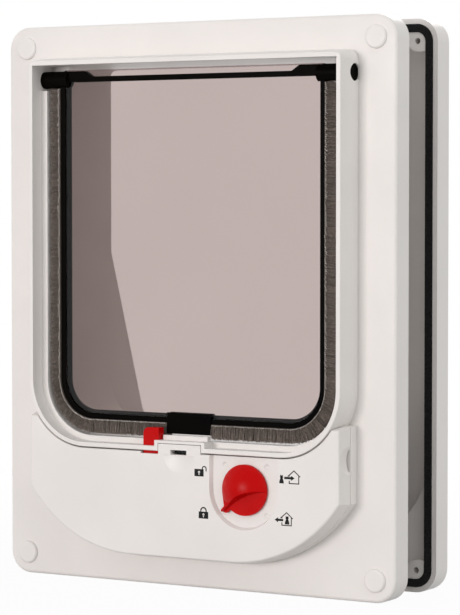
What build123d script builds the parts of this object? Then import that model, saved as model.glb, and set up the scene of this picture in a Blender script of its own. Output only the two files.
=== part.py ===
from build123d import *
import os
from math import atan, cos, degrees, radians, sin, sqrt

# Cat flap with an inner frame, an outer frame, a flap that swings both ways and a lock dial.
# X is to the right, Z is up and the front faces -Y. Sizes are in millimetres.
# The origin is the centre of the four fixing holes, on the door's inner face.

# Both frames
frame_width = 238.0
frame_height = 297.0
frame_corner = 12.0
frame_edge = 1.8
door_thickness = 31.7
screw_inset_x = 11.7
screw_inset_z = 11.5

# Inner frame: a shallow tray with its open side on the door
tray_depth = 13.2
tray_wall = 2.4
plate_thickness = 2.4
screw_hole_radius = 2.2
screw_head_radius = 4.2
screw_head_depth = 3.2
boss_radius = 6.0
cap_radius = 6.1
cap_height = 1.5
cap_edge = 1.3
cap_stem_length = 2.6
cap_stem_clearance = 0.1

# Plinth, and the raised surround that stands on it
plinth_height = 6.0
surround_height = 15.5
surround_draft = 1.7
fascia_side = 23.7
fascia_top = 19.3
fascia_bottom = 72.8
lip_bottom_radius = 35.0
lip_top_radius = 5.0
lip_width = 2.3
lip_depth = 8.3
lip_edge = 0.5
ledge_width = 3.9
ledge_height = 2.9
wall = 2.2
liner_length = 40.8
liner_clearance = 0.3
spigot_length = 6.0
spigot_clearance = 0.05

# Hinge
hinge_inset = 3.2
hinge_drop = 9.8
barrel_radius = 4.6
barrel_end_gap = 1.0
barrel_root = 4.6
hinge_pocket_height = 13.3
hinge_pocket_back = 3.5
gusset_rise = 3.4
gusset_gap = 0.8
bush_radius = 4.5
bush_clearance = 0.05
bush_length = 4.0
bush_gap = 0.3
journal_radius = 2.0
journal_tip_gap = 2.1
running_clearance = 0.05

# Flap
pile_width = 7.9
pile_height = 8.9
flap_corner = 21.0
flap_top_corner = 1.2
border_width = 2.7
border_back_width = 4.6
border_thickness = 4.6
panel_thickness = 3.0
panel_grip = 1.2
panel_rise = 5.0
panel_clearance = 0.05
rail_height = 2.8
hinge_rail_height = 5.8
hinge_rail_length = 15.2
hinge_rail_taper = 4.5
pile_clearance = 0.5
pile_thickness = 6.8
pile_top_gap = 0.3
pile_gap = 0.1
catch_half_width = 13.6
catch_rise = 5.3
catch_drop = 5.8
catch_thickness = 6.4
catch_chamfer = 1.2
catch_edge = 0.6
catch_wall = 1.2
magnet_length = 20.0
magnet_size = 4.0
magnet_clearance = 0.1
keeper_magnet_height = 5.2

# Frame side of the catch: a housing with a doorway for the cover's tongue
housing_half_width = 15.4
housing_rise = 5.4
keeper_half_width = 13.7
keeper_rise = 7.8
keeper_thickness = 2.4
doorway_clearance = 0.35

# Control cover
cover_step = 0.6
shoulder_rise = 15.1
cover_arc_share = 0.3305
cover_arc_rise = 21.5
cover_arc_radius = 77.0
cover_seam = 0.5
cover_edge = 1.1
cover_groove = 0.4
plinth_wall = 3.2
tongue_half_width = 13.0
tongue_rise = 3.7
slot_width = 9.8
slot_height = 2.6
slot_x = -0.5
slot_rise = 0.8
scallop_radius = 9.2
scallop_depth = 1.4
latch_notch_width = 11.0
latch_notch_height = 1.3
latch_room_height = 8.8
pry_drop = 0.5
pry_height = 13.5
pry_depth = 1.7
pry_reach = 3.4
pry_slot_height = 11.0
pry_slot_width = 0.7
compartment_depth = 9.2

# Lock dial and its cam
dial_x = 39.0
dial_drop = 17.9
dial_radius = 13.2
dial_height = 7.4
dial_rim = 1.6
dial_gap = 0.3
dial_pointer_deg = 225.0
nib_reach = 16.8
nib_radius = 1.4
nib_height = 4.2
nib_root_deg = -37.0
scoop_x = 16.4
scoop_y = 38.5
scoop_radius = 40.0
scoop_slope = 14.0
recess_half_width = 19.5
recess_depth = 2.4
recess_slope = 25.0
dimple_radius = 1.5
dimple_depth = 0.7
dimple_circle = 17.6
shaft_radius = 3.5
shaft_length = 9.0
cam_radius = 9.0
cam_lobe_radius = 3.0
cam_lobe_reach = 11.5
cam_thickness = 3.0

# Lock latch and what drives it
latch_left = -23.8
latch_right = -14.3
latch_rise = 11.7
latch_thickness = 5.0
latch_length = 30.0
latch_travel = 9.0
latch_corner = 3.2
latch_clearance = 0.3
plunger_radius = 2.6
plunger_gap = 0.6
arm_height = 4.0
coil_radius = 7.0
coil_height = 15.0
yoke_wall = 1.6
spring_radius = 3.9
spring_wire = 0.4
spring_turns = 5
spring_length = 16.5

# Battery and electronics
battery_length = 48.5
battery_width = 26.5
battery_thickness = 17.5
battery_edge = 1.5
battery_centre_x = -53.0
battery_drop = 20.8
stud_radius = 2.8
stud_length = 2.4
stud_spacing = 12.7
snap_thickness = 3.0
snap_height = 22.0
snap_clearance = 0.1
board_width = 60.0
board_height = 30.0
board_thickness = 1.6
board_centre_x = 34.0
board_drop = 22.3
post_radius = 2.4
post_height = 2.2
post_inset = 4.0
reed_radius = 1.3
reed_length = 14.0
reed_inset = 3.0

# Outer frame: a tray that faces the door's other side, with a sloping apron
outer_depth = 14.2
outer_floor = 2.2
outer_lip = 2.7
foam_width = 4.3
foam_thickness = 3.6
foam_proud = 0.4
pilot_radius = 1.65
pilot_depth = 11.0
outer_boss_radius = 5.4
collar_overlap = 7.5
outer_corner = 8.0
apron_inset = 23.0
apron_cheek = 6.0
apron_rise = 101.7
apron_reach = 36.0
apron_ridge_drop = 0.3
apron_chin_drop = 42.3
apron_chin_reach = 31.0
apron_arc_radius = 85.0
corner_arc_radius = 88.0
corner_rise = 8.0

# Stations along Y
fascia_front = -tray_depth
plinth_front = fascia_front - plinth_height
lip_front = fascia_front - surround_height
ledge_front = lip_front + lip_depth
hinge_y = fascia_front - hinge_inset
compartment_floor = fascia_front + compartment_depth
outer_front = door_thickness
outer_back = outer_front + outer_depth

# Sizes and heights that follow from the ones above
screw_spacing_x = frame_width - 2 * screw_inset_x
screw_spacing_z = frame_height - 2 * screw_inset_z
lip_half_width = frame_width / 2 - fascia_side
lip_top = frame_height / 2 - fascia_top
lip_bottom = fascia_bottom - frame_height / 2
raised_height = surround_height - plinth_height
draft_angle = degrees(atan(surround_draft / raised_height))
tunnel_half_width = lip_half_width - lip_width - ledge_width
tunnel_bottom = lip_bottom + lip_width + ledge_height
tunnel_radius = lip_bottom_radius - lip_width - ledge_width
tunnel_top = lip_top - lip_width
hinge_z = lip_top - hinge_drop
flap_half_width = tunnel_half_width - pile_width
flap_bottom = tunnel_bottom + pile_height
panel_top = hinge_z + panel_rise
pocket_half = lip_half_width - lip_width
barrel_half_span = pocket_half - barrel_end_gap
barrel_length = barrel_half_span - flap_half_width + barrel_root
journal_length = barrel_half_span + bush_gap - flap_half_width - journal_tip_gap
hinge_rail_inner = flap_half_width - hinge_rail_length
pocket_bottom = tunnel_top - hinge_pocket_height
pocket_end = fascia_front + hinge_pocket_back
gusset_bottom = hinge_z + gusset_rise
rail_top = hinge_z + rail_height / 2
rail_bottom = hinge_z - rail_height / 2
pile_top = hinge_z - barrel_radius - pile_top_gap
catch_top = flap_bottom + catch_rise
catch_bottom = flap_bottom - catch_drop
housing_top = lip_bottom + housing_rise
keeper_top = lip_bottom + keeper_rise
flap_magnet_front = hinge_y + catch_thickness / 2 - magnet_size
flap_magnet_bottom = catch_bottom + catch_wall
keeper_magnet_front = ledge_front - magnet_size
keeper_magnet_top = housing_top - catch_wall
cover_half_width = lip_half_width - cover_step
cover_shoulder = lip_bottom + shoulder_rise
cover_arc_x = cover_arc_share * cover_half_width
cover_arc_z = lip_bottom + cover_arc_rise
cover_edge_z = lip_bottom - cover_seam
tongue_top = lip_bottom + tongue_rise
slot_top = lip_bottom + slot_rise
pry_z = lip_bottom - pry_drop
dial_z = lip_bottom - dial_drop
scallop_ball = (scallop_radius**2 + scallop_depth**2) / (2 * scallop_depth)
dimple_ball = (dimple_radius**2 + dimple_depth**2) / (2 * dimple_depth)
pry_ball = (pry_height**2 / 4 + pry_depth**2) / (2 * pry_depth)
pry_wall_x = cover_half_width + surround_draft * (1 - pry_reach / raised_height)
dial_back = lip_front + recess_depth - dial_gap
cam_front = lip_front + recess_depth + wall + dial_gap
latch_top = lip_bottom + latch_rise
latch_x = (latch_left + latch_right) / 2
latch_front = lip_front + wall + latch_clearance
latch_foot = latch_top - latch_length
yoke_top = latch_foot - spring_length
coil_top = yoke_top - yoke_wall
coil_bottom = coil_top - coil_height
plunger_length = latch_foot - latch_travel - plunger_gap - coil_bottom
coil_y = compartment_floor - coil_radius - latch_clearance
coil_room = coil_radius + latch_clearance
battery_centre_z = lip_bottom - battery_drop
battery_left = battery_centre_x - battery_length / 2
battery_y = compartment_floor - battery_thickness / 2
board_centre_z = lip_bottom - board_drop
board_back = compartment_floor - post_height
board_front = board_back - board_thickness
collar_front = liner_length - collar_overlap
tray_half_width = frame_width / 2 - outer_lip - foam_width
apron_half_width = frame_width / 2 - apron_inset
apron_top = lip_bottom + apron_rise
apron_ridge = lip_bottom - apron_ridge_drop
apron_chin = lip_bottom - apron_chin_drop
pointer_x = cos(radians(dial_pointer_deg))
pointer_z = sin(radians(dial_pointer_deg))
nib_root_x = dial_radius * cos(radians(nib_root_deg))
nib_root_y = dial_radius * sin(radians(nib_root_deg))


def facing(y):
    """Plane across the part at station y, facing out of the front, with Z upwards."""
    return Plane.XZ.offset(-y)


def frame_outline(inset=0.0, mode=Mode.ADD):
    """Rounded rectangle of both frames."""
    RectangleRounded(frame_width - 2 * inset, frame_height - 2 * inset, frame_corner - inset, mode=mode)


def arch(half_width, top, bottom, bottom_radius, top_radius, mode=Mode.ADD):
    """Upright opening with small upper corners and large lower ones."""
    with BuildSketch(mode=Mode.PRIVATE) as shape:
        with Locations((0, (top + bottom) / 2)):
            Rectangle(2 * half_width, top - bottom)
        fillet(shape.vertices().group_by(Axis.Y)[0], bottom_radius)
        fillet(shape.vertices().group_by(Axis.Y)[-1], top_radius)
    add(shape.sketch, mode=mode)


def surround_arch(grow, mode=Mode.ADD):
    """Outline of the surround's lip, grown by a margin."""
    radius = lip_bottom_radius + grow
    arch(lip_half_width + grow, lip_top + grow, lip_bottom - grow, radius, lip_top_radius, mode)


def tunnel_arch(grow, mode=Mode.ADD):
    """Outline of the tunnel, grown by a margin."""
    radius = tunnel_radius + grow
    arch(tunnel_half_width + grow, tunnel_top + grow, tunnel_bottom - grow, radius, lip_top_radius, mode)


def outer_arch(grow, mode=Mode.ADD):
    """Outline of the outer frame's opening, grown by a margin, with small lower corners."""
    radius = outer_corner + grow
    arch(tunnel_half_width + grow, tunnel_top + grow, tunnel_bottom - grow, radius, lip_top_radius, mode)


def flap_arch(inset, top, mode=Mode.ADD):
    """Outline of the flap's border, drawn in by a margin."""
    arch(flap_half_width - inset, top, flap_bottom + inset, flap_corner - inset, flap_top_corner, mode)


def bowed_outline(half_width, top, arc_radius, mode=Mode.ADD):
    """Straight sides that turn into two large arcs and a flat bottom."""
    drop = sqrt(arc_radius**2 - (half_width - cover_arc_x) ** 2)
    kink = degrees(atan(drop / (half_width - cover_arc_x)))
    bottom = cover_arc_z - arc_radius
    with BuildSketch(mode=Mode.PRIVATE) as shape:
        with BuildLine():
            Polyline((0, top), (half_width, top), (half_width, cover_arc_z - drop))
            CenterArc((cover_arc_x, cover_arc_z), arc_radius, -90, 90 - kink)
            Line((cover_arc_x, bottom), (0, bottom))
            mirror(about=Plane.YZ)
        make_face()
    add(shape.sketch, mode=mode)


def cover_outline(grow, mode=Mode.ADD):
    """Outline of the control cover's front, grown by a margin."""
    bowed_outline(cover_half_width + grow, cover_shoulder + grow, cover_arc_radius + grow, mode)


def dial_recess_outline(grow, top):
    """Upright slot around the dial, with a round bottom and a square top."""
    half_width = recess_half_width + grow
    with Locations((dial_x, dial_z)):
        Circle(half_width)
        Rectangle(2 * half_width, top - dial_z, align=(Align.CENTER, Align.MIN))


def slab(x_span, y_span, z_span, mode=Mode.ADD):
    """Box between pairs of limits."""
    centre = [(low + high) / 2 for low, high in (x_span, y_span, z_span)]
    size = [high - low for low, high in (x_span, y_span, z_span)]
    with Locations(tuple(centre)):
        Box(*size, mode=mode)


def along_x(x, y, z):
    """Plane whose normal is +X, at a point."""
    return Plane(origin=(x, y, z), x_dir=(0, 1, 0), z_dir=(1, 0, 0))


def weather_profile(inset, front):
    """Side view of the outer frame's weather side: flat above, sloping out below, and back to the chin."""
    Polygon(
        (front, frame_height / 2),
        (outer_back, frame_height / 2),
        (outer_back, apron_top),
        (outer_back + apron_reach, apron_ridge),
        (outer_back + apron_chin_reach, apron_chin),
        (outer_back, cover_arc_z - apron_arc_radius),
        (front, cover_arc_z - apron_arc_radius),
        align=None,
    )
    if inset:
        offset(amount=-inset, kind=Kind.INTERSECTION)


def apron_block(inset, cheek, front):
    """Solid block of the apron, drawn in by a margin all round, and by its own one at the sides."""
    with BuildPart(mode=Mode.PRIVATE) as block:
        with BuildSketch(facing(outer_back + apron_reach)):
            bowed_outline(apron_half_width - cheek, apron_top - inset, apron_arc_radius - inset)
        extrude(amount=apron_reach + outer_back - front)
        with BuildSketch(Plane.YZ):
            weather_profile(inset, front)
        extrude(amount=frame_width, both=True, mode=Mode.INTERSECT)
    return block.part


def collar_block():
    """Tube around the liner, cut off along the weather side."""
    with BuildPart(mode=Mode.PRIVATE) as block:
        with BuildSketch(facing(outer_back + apron_reach)):
            outer_arch(wall + liner_clearance + wall)
        extrude(amount=outer_back + apron_reach - collar_front)
        with BuildSketch(Plane.YZ):
            weather_profile(0, collar_front)
        extrude(amount=frame_width, both=True, mode=Mode.INTERSECT)
    return block.part


os.makedirs("parts", exist_ok=True)

# Inner frame: tray, plinth, surround, control compartment and the front of the tunnel in one moulding
with BuildPart() as inner_frame:
    with BuildSketch(facing(0)):
        frame_outline()
    extrude(amount=tray_depth)
    fillet(inner_frame.faces().sort_by(Axis.Y)[0].edges(), frame_edge)
    with BuildSketch(facing(0)):
        frame_outline(tray_wall)
    extrude(amount=tray_depth - plate_thickness, mode=Mode.SUBTRACT)
    with BuildSketch(facing(0)):
        with GridLocations(screw_spacing_x, screw_spacing_z, 2, 2):
            Circle(boss_radius)
    extrude(amount=tray_depth - plate_thickness)
    with BuildSketch(facing(fascia_front)):
        surround_arch(surround_draft)
        cover_outline(surround_draft)
    extrude(amount=plinth_height)
    with BuildSketch(facing(plinth_front)):
        surround_arch(surround_draft)
    extrude(amount=raised_height, taper=draft_angle)
    fillet(inner_frame.faces().sort_by(Axis.Y)[0].edges(), lip_edge)
    # Control compartment, sunk into the tray
    with BuildSketch(facing(compartment_floor + wall)):
        cover_outline(surround_draft - plinth_wall + wall)
    extrude(amount=compartment_depth + wall)
    with BuildSketch(facing(compartment_floor)):
        cover_outline(surround_draft - plinth_wall)
        surround_arch(surround_draft, mode=Mode.SUBTRACT)
    extrude(amount=compartment_floor - plinth_front, mode=Mode.SUBTRACT)
    # Front of the tunnel, the ledge that the pile brushes past, and the hollow back of the surround
    with BuildSketch(facing(0)):
        tunnel_arch(wall)
    extrude(amount=tray_depth)
    slab(
        (-pocket_half - wall, pocket_half + wall),
        (fascia_front, pocket_end + wall),
        (pocket_bottom - wall, tunnel_top + wall),
    )
    with BuildSketch(facing(fascia_front + plate_thickness)):
        arch(
            lip_half_width + surround_draft - wall,
            pocket_bottom - wall,
            lip_bottom - surround_draft + wall,
            lip_bottom_radius + surround_draft - wall,
            lip_top_radius,
        )
        tunnel_arch(wall, mode=Mode.SUBTRACT)
    extrude(amount=fascia_front + plate_thickness - ledge_front - wall, mode=Mode.SUBTRACT)
    with BuildSketch(facing(0)):
        tunnel_arch(0)
    extrude(amount=-lip_front, mode=Mode.SUBTRACT)
    with BuildSketch(facing(0)):
        tunnel_arch(wall + spigot_clearance)
        tunnel_arch(wall / 2, mode=Mode.SUBTRACT)
    extrude(amount=spigot_length, mode=Mode.SUBTRACT)
    with BuildSketch(facing(ledge_front)):
        surround_arch(-lip_width)
    extrude(amount=lip_depth, mode=Mode.SUBTRACT)
    # Room for the hinge barrels, and a round hole for each bush
    slab(
        (-pocket_half, pocket_half),
        (lip_front, pocket_end),
        (pocket_bottom, tunnel_top),
        mode=Mode.SUBTRACT,
    )
    with BuildSketch(along_x(0, hinge_y, hinge_z)):
        Circle(bush_radius + bush_clearance)
    extrude(amount=lip_half_width + surround_draft, both=True, mode=Mode.SUBTRACT)
    # Gussets in the tunnel's upper corners, behind the barrels
    with BuildSketch(facing(pocket_end + wall)):
        with Locations((0, (tunnel_top + gusset_bottom) / 2)):
            with GridLocations(tunnel_half_width + flap_half_width + gusset_gap, 0, 2, 1):
                Rectangle(tunnel_half_width - flap_half_width - gusset_gap, tunnel_top - gusset_bottom)
    extrude(amount=wall)
    # Housing under the catch, the doorway in it, the pocket for its magnet and the slot into that pocket
    slab(
        (-housing_half_width, housing_half_width),
        (lip_front, ledge_front),
        (lip_bottom, housing_top),
    )
    slab(
        (-keeper_half_width, keeper_half_width),
        (ledge_front - keeper_thickness, ledge_front),
        (housing_top, keeper_top),
    )
    slab(
        (-tongue_half_width - doorway_clearance, tongue_half_width + doorway_clearance),
        (lip_front, lip_front + wall + doorway_clearance),
        (lip_bottom - surround_draft, tongue_top + doorway_clearance),
        mode=Mode.SUBTRACT,
    )
    slab(
        (-magnet_length / 2 - magnet_clearance, magnet_length / 2 + magnet_clearance),
        (keeper_magnet_front - magnet_clearance, keeper_magnet_front + magnet_size + magnet_clearance),
        (lip_bottom - surround_draft, keeper_magnet_top),
        mode=Mode.SUBTRACT,
    )
    slab(
        (slot_x - slot_width / 2, slot_x + slot_width / 2),
        (lip_front, keeper_magnet_front),
        (slot_top - slot_height, slot_top),
        mode=Mode.SUBTRACT,
    )
    # Slot that the lock latch rises through
    slab(
        (latch_left - latch_clearance, latch_right + latch_clearance),
        (latch_front - latch_clearance, latch_front + latch_thickness + latch_clearance),
        (lip_bottom - surround_draft, keeper_top),
        mode=Mode.SUBTRACT,
    )
    # Posts that carry the circuit board
    with BuildSketch(facing(compartment_floor)):
        with Locations((board_centre_x, board_centre_z)):
            with GridLocations(board_width - 2 * post_inset, board_height - 2 * post_inset, 2, 2):
                Circle(post_radius)
    extrude(amount=post_height)
    with Locations(facing(fascia_front)):
        with GridLocations(screw_spacing_x, screw_spacing_z, 2, 2):
            CounterBoreHole(screw_hole_radius, screw_head_radius, screw_head_depth, tray_depth)
inner_frame.part.label = "inner_frame"
export_step(inner_frame.part, "parts/inner_frame.step")

# Tunnel liner: tube through the door, with a thin sleeve that slides over the frame's spigot
with BuildPart() as tunnel_liner:
    with BuildSketch(facing(liner_length)):
        tunnel_arch(wall)
        tunnel_arch(0, mode=Mode.SUBTRACT)
    extrude(amount=liner_length - spigot_clearance)
    with BuildSketch(facing(spigot_clearance)):
        tunnel_arch(wall)
        tunnel_arch(wall / 2 + spigot_clearance, mode=Mode.SUBTRACT)
    extrude(amount=spigot_length)
tunnel_liner.part.label = "tunnel_liner"
export_step(tunnel_liner.part, "parts/tunnel_liner.step")

# Screw caps: flat discs with a round edge and a stem that plugs the screw recess
with BuildPart() as cap:
    with BuildSketch():
        Circle(cap_radius)
    extrude(amount=cap_height)
    fillet(cap.edges().group_by(Axis.Z)[-1], cap_edge)
    with BuildSketch():
        Circle(screw_head_radius - cap_stem_clearance)
    extrude(amount=-cap_stem_length)
with BuildPart() as screw_caps:
    with Locations(facing(fascia_front)):
        with GridLocations(screw_spacing_x, screw_spacing_z, 2, 2):
            add(cap.part)
screw_caps.part.label = "screw_caps"
export_step(screw_caps.part, "parts/screw_caps.step")

# Hinge bushes: a round plug in each side wall with a journal for the flap's barrel
with BuildPart() as hinge_bushes:
    with BuildSketch(along_x(barrel_half_span + bush_gap, hinge_y, hinge_z)):
        Circle(bush_radius)
    extrude(amount=bush_length)
    with BuildSketch(along_x(barrel_half_span + bush_gap, hinge_y, hinge_z)):
        Circle(journal_radius)
    extrude(amount=-journal_length)
    mirror(about=Plane.YZ)
hinge_bushes.part.label = "hinge_bushes"
export_step(hinge_bushes.part, "parts/hinge_bushes.step")

# Flap panel: tinted sheet that reaches a little above the hinge rail
with BuildPart() as flap_panel:
    with BuildSketch(facing(hinge_y + panel_thickness / 2)):
        flap_arch(border_width - panel_grip, panel_top)
    extrude(amount=panel_thickness)
flap_panel.part.label = "flap_panel"
export_step(flap_panel.part, "parts/flap_panel.step")

# Flap border: black edge with a groove for the panel, wider at the back, the hinge rail and two barrels
with BuildPart() as flap_border:
    with BuildSketch(facing(hinge_y + border_thickness / 2)):
        flap_arch(0, rail_top)
        flap_arch(border_back_width, rail_bottom, mode=Mode.SUBTRACT)
        with BuildSketch(mode=Mode.PRIVATE) as hinge_rail:
            Polygon(
                (hinge_rail_inner - hinge_rail_taper, rail_bottom),
                (flap_half_width, rail_bottom),
                (flap_half_width, rail_bottom + hinge_rail_height),
                (hinge_rail_inner, rail_bottom + hinge_rail_height),
                (hinge_rail_inner - hinge_rail_taper, rail_top),
                align=None,
            )
            mirror(about=Plane.YZ)
        add(hinge_rail.sketch)
    extrude(amount=border_thickness)
    with BuildSketch(facing(hinge_y)):
        flap_arch(border_width, rail_bottom)
    extrude(amount=border_thickness / 2, mode=Mode.SUBTRACT)
    for side in (-1, 1):
        with Locations((side * (barrel_half_span - barrel_length / 2), hinge_y, hinge_z)):
            Cylinder(barrel_radius, barrel_length, rotation=(0, 90, 0))
    with BuildSketch(facing(hinge_y + panel_thickness / 2 + panel_clearance)):
        flap_arch(border_width - panel_grip - panel_clearance, panel_top + panel_clearance)
    extrude(amount=panel_thickness + 2 * panel_clearance, mode=Mode.SUBTRACT)
    slab(
        (-catch_half_width - panel_clearance, catch_half_width + panel_clearance),
        (hinge_y - catch_thickness, hinge_y + catch_thickness),
        (catch_bottom, catch_top),
        mode=Mode.SUBTRACT,
    )
    with Locations((barrel_half_span, hinge_y, hinge_z), (-barrel_half_span, hinge_y, hinge_z)):
        Cylinder(
            journal_radius + running_clearance,
            2 * journal_length,
            rotation=(0, 90, 0),
            mode=Mode.SUBTRACT,
        )
flap_border.part.label = "flap_border"
export_step(flap_border.part, "parts/flap_border.step")

# Pile seal: brush strips on both sides and below, clear of the catch and of the lock latch
with BuildPart() as pile_seal:
    with BuildSketch(facing(hinge_y + pile_thickness / 2)):
        arch(
            tunnel_half_width - pile_clearance,
            pile_top,
            tunnel_bottom + pile_clearance,
            tunnel_radius - pile_clearance,
            flap_top_corner,
        )
        flap_arch(-pile_gap, rail_top, mode=Mode.SUBTRACT)
    extrude(amount=pile_thickness)
    slab(
        (-catch_half_width - pile_gap, catch_half_width + pile_gap),
        (hinge_y - pile_thickness, hinge_y + pile_thickness),
        (tunnel_bottom, catch_top),
        mode=Mode.SUBTRACT,
    )
    slab(
        (latch_left - pile_clearance, -catch_half_width),
        (hinge_y - pile_thickness, hinge_y + pile_thickness),
        (tunnel_bottom, latch_top + pile_clearance),
        mode=Mode.SUBTRACT,
    )
pile_seal.part.label = "pile_seal"
export_step(pile_seal.part, "parts/pile_seal.step")

# Catch block: clipped over the panel's lower edge, with a pocket for its magnet in the back
with BuildPart() as catch_block:
    with BuildSketch(facing(hinge_y + catch_thickness / 2)) as catch_face:
        with Locations((0, (catch_top + catch_bottom) / 2)):
            Rectangle(2 * catch_half_width, catch_top - catch_bottom)
        top_corners = catch_face.vertices().group_by(Axis.Y)[-1]
        chamfer(top_corners.sort_by(Axis.X)[-1], catch_chamfer)
    extrude(amount=catch_thickness)
    fillet(catch_block.faces().sort_by(Axis.Y)[0].edges(), catch_edge)
    with BuildSketch(facing(hinge_y + panel_thickness / 2 + panel_clearance)):
        flap_arch(border_width - panel_grip - panel_clearance, panel_top)
    extrude(amount=panel_thickness + 2 * panel_clearance, mode=Mode.SUBTRACT)
    slab(
        (-magnet_length / 2 - magnet_clearance, magnet_length / 2 + magnet_clearance),
        (flap_magnet_front - magnet_clearance, hinge_y + catch_thickness / 2),
        (flap_magnet_bottom - magnet_clearance, flap_magnet_bottom + magnet_size + magnet_clearance),
        mode=Mode.SUBTRACT,
    )
catch_block.part.label = "catch_block"
export_step(catch_block.part, "parts/catch_block.step")

# Flap magnet, flush with the catch block's back
with BuildPart() as flap_magnet:
    slab(
        (-magnet_length / 2, magnet_length / 2),
        (flap_magnet_front, flap_magnet_front + magnet_size),
        (flap_magnet_bottom, flap_magnet_bottom + magnet_size),
    )
flap_magnet.part.label = "flap_magnet"
export_step(flap_magnet.part, "parts/flap_magnet.step")

# Keeper magnet, up against the top of the frame's housing
with BuildPart() as keeper_magnet:
    slab(
        (-magnet_length / 2, magnet_length / 2),
        (keeper_magnet_front, keeper_magnet_front + magnet_size),
        (keeper_magnet_top - keeper_magnet_height, keeper_magnet_top),
    )
keeper_magnet.part.label = "keeper_magnet"
export_step(keeper_magnet.part, "parts/keeper_magnet.step")

# Control cover: shell over the lock, flush with the surround's lip
with BuildPart() as control_cover:
    with BuildSketch(facing(plinth_front)):
        cover_outline(surround_draft)
    extrude(amount=raised_height, taper=draft_angle)
    chamfer(control_cover.faces().sort_by(Axis.Y)[-1].edges(), cover_groove)
    with BuildSketch(facing(plinth_front)):
        cover_outline(-wall)
        surround_arch(surround_draft + cover_seam + wall, mode=Mode.SUBTRACT)
    extrude(amount=raised_height - wall, mode=Mode.SUBTRACT)
    with BuildSketch(facing(lip_front + recess_depth + wall)):
        dial_recess_outline(wall, cover_edge_z)
    extrude(amount=recess_depth)
    with BuildSketch(facing(plinth_front)):
        surround_arch(surround_draft + cover_seam)
    extrude(amount=raised_height, taper=draft_angle, mode=Mode.SUBTRACT)
    fillet(control_cover.faces().sort_by(Axis.Y)[0].edges(), cover_edge)
    # Dial recess with sloping walls, and a dimple at each of the four positions
    with BuildSketch(facing(lip_front + recess_depth)):
        dial_recess_outline(0, lip_bottom)
    extrude(amount=recess_depth, taper=-recess_slope, mode=Mode.SUBTRACT)
    with Locations(facing(lip_front + recess_depth + dimple_depth - dimple_ball)):
        with Locations((dial_x, dial_z)):
            with PolarLocations(dimple_circle, 4, dial_pointer_deg):
                Sphere(dimple_ball, mode=Mode.SUBTRACT)
    with BuildSketch(facing(lip_front + recess_depth)):
        with Locations((dial_x, dial_z)):
            Circle(shaft_radius + running_clearance)
    extrude(amount=-wall, mode=Mode.SUBTRACT)
    # Tongue with its slot, and the thumb scallop below
    slab(
        (-tongue_half_width, tongue_half_width),
        (lip_front, lip_front + wall),
        (cover_edge_z - wall, tongue_top),
    )
    slab(
        (slot_x - slot_width / 2, slot_x + slot_width / 2),
        (lip_front, ledge_front),
        (slot_top - slot_height, slot_top),
        mode=Mode.SUBTRACT,
    )
    with Locations((slot_x, lip_front + scallop_depth - scallop_ball, slot_top - slot_height)):
        Sphere(
            scallop_ball,
            arc_size1=-90,
            arc_size2=0,
            align=(Align.CENTER, Align.CENTER, Align.MAX),
            mode=Mode.SUBTRACT,
        )
    # Room for the lock latch behind the upper edge, and the notch that shows it
    slab(
        (latch_left - latch_clearance, latch_right + latch_clearance),
        (lip_front + wall, plinth_front),
        (cover_edge_z - latch_room_height, lip_bottom),
        mode=Mode.SUBTRACT,
    )
    slab(
        (latch_left - latch_clearance, latch_left - latch_clearance + latch_notch_width),
        (lip_front, lip_front + wall),
        (cover_edge_z - latch_notch_height, lip_bottom),
        mode=Mode.SUBTRACT,
    )
    # Scallop and slot in the right wall, for prying the cover off
    with Locations((pry_wall_x + pry_ball - pry_depth, plinth_front - pry_reach, pry_z)):
        Sphere(pry_ball, mode=Mode.SUBTRACT)
    slab(
        (cover_half_width - wall, cover_half_width + surround_draft),
        (plinth_front - pry_slot_width, plinth_front),
        (pry_z - pry_slot_height / 2, pry_z + pry_slot_height / 2),
        mode=Mode.SUBTRACT,
    )
control_cover.part.label = "control_cover"
export_step(control_cover.part, "parts/control_cover.step")

# Lock dial: domed knob with one side scooped out, a pointer nib and a shaft through the cover
dial_plane = Plane((dial_x, dial_back, dial_z), x_dir=(pointer_x, 0, pointer_z), z_dir=(0, -1, 0))
with BuildPart() as lock_dial:
    with BuildSketch(Plane(dial_plane.origin, x_dir=dial_plane.x_dir, z_dir=-dial_plane.y_dir)):
        with BuildLine():
            Polyline((0, dial_height), (0, 0), (dial_radius, 0), (dial_radius, dial_rim))
            TangentArc((0, dial_height), (dial_radius, dial_rim), tangent=(1, 0))
        make_face()
    revolve(axis=Axis(dial_plane.origin, dial_plane.z_dir))
    with BuildSketch(dial_plane):
        Polygon(
            (0, nib_radius),
            (nib_reach - nib_radius, nib_radius),
            (nib_reach - nib_radius, -nib_radius),
            (nib_root_x, nib_root_y),
            align=None,
        )
    extrude(amount=dial_rim)
    with BuildSketch(dial_plane):
        with Locations((nib_reach - nib_radius, 0)):
            Circle(nib_radius)
            Rectangle(nib_reach - nib_radius, 2 * nib_radius, align=(Align.MAX, Align.CENTER))
    extrude(amount=nib_height)
    with BuildSketch(dial_plane.offset(dial_height)):
        with Locations((scoop_x, scoop_y)):
            Circle(scoop_radius)
    extrude(amount=dial_rim - dial_height, taper=scoop_slope, mode=Mode.SUBTRACT)
    with BuildSketch(dial_plane):
        Circle(shaft_radius)
    extrude(amount=-shaft_length)
lock_dial.part.label = "lock_dial"
export_step(lock_dial.part, "parts/lock_dial.step")

# Dial cam: disc with a lobe, on the dial's shaft behind the cover
with BuildPart() as dial_cam:
    with BuildSketch(Plane((dial_x, cam_front, dial_z), x_dir=dial_plane.x_dir, z_dir=dial_plane.z_dir)):
        Circle(cam_radius)
        with Locations((cam_lobe_reach - cam_lobe_radius, 0)):
            Circle(cam_lobe_radius)
        Circle(shaft_radius + running_clearance, mode=Mode.SUBTRACT)
    extrude(amount=-cam_thickness)
dial_cam.part.label = "dial_cam"
export_step(dial_cam.part, "parts/dial_cam.step")

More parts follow.
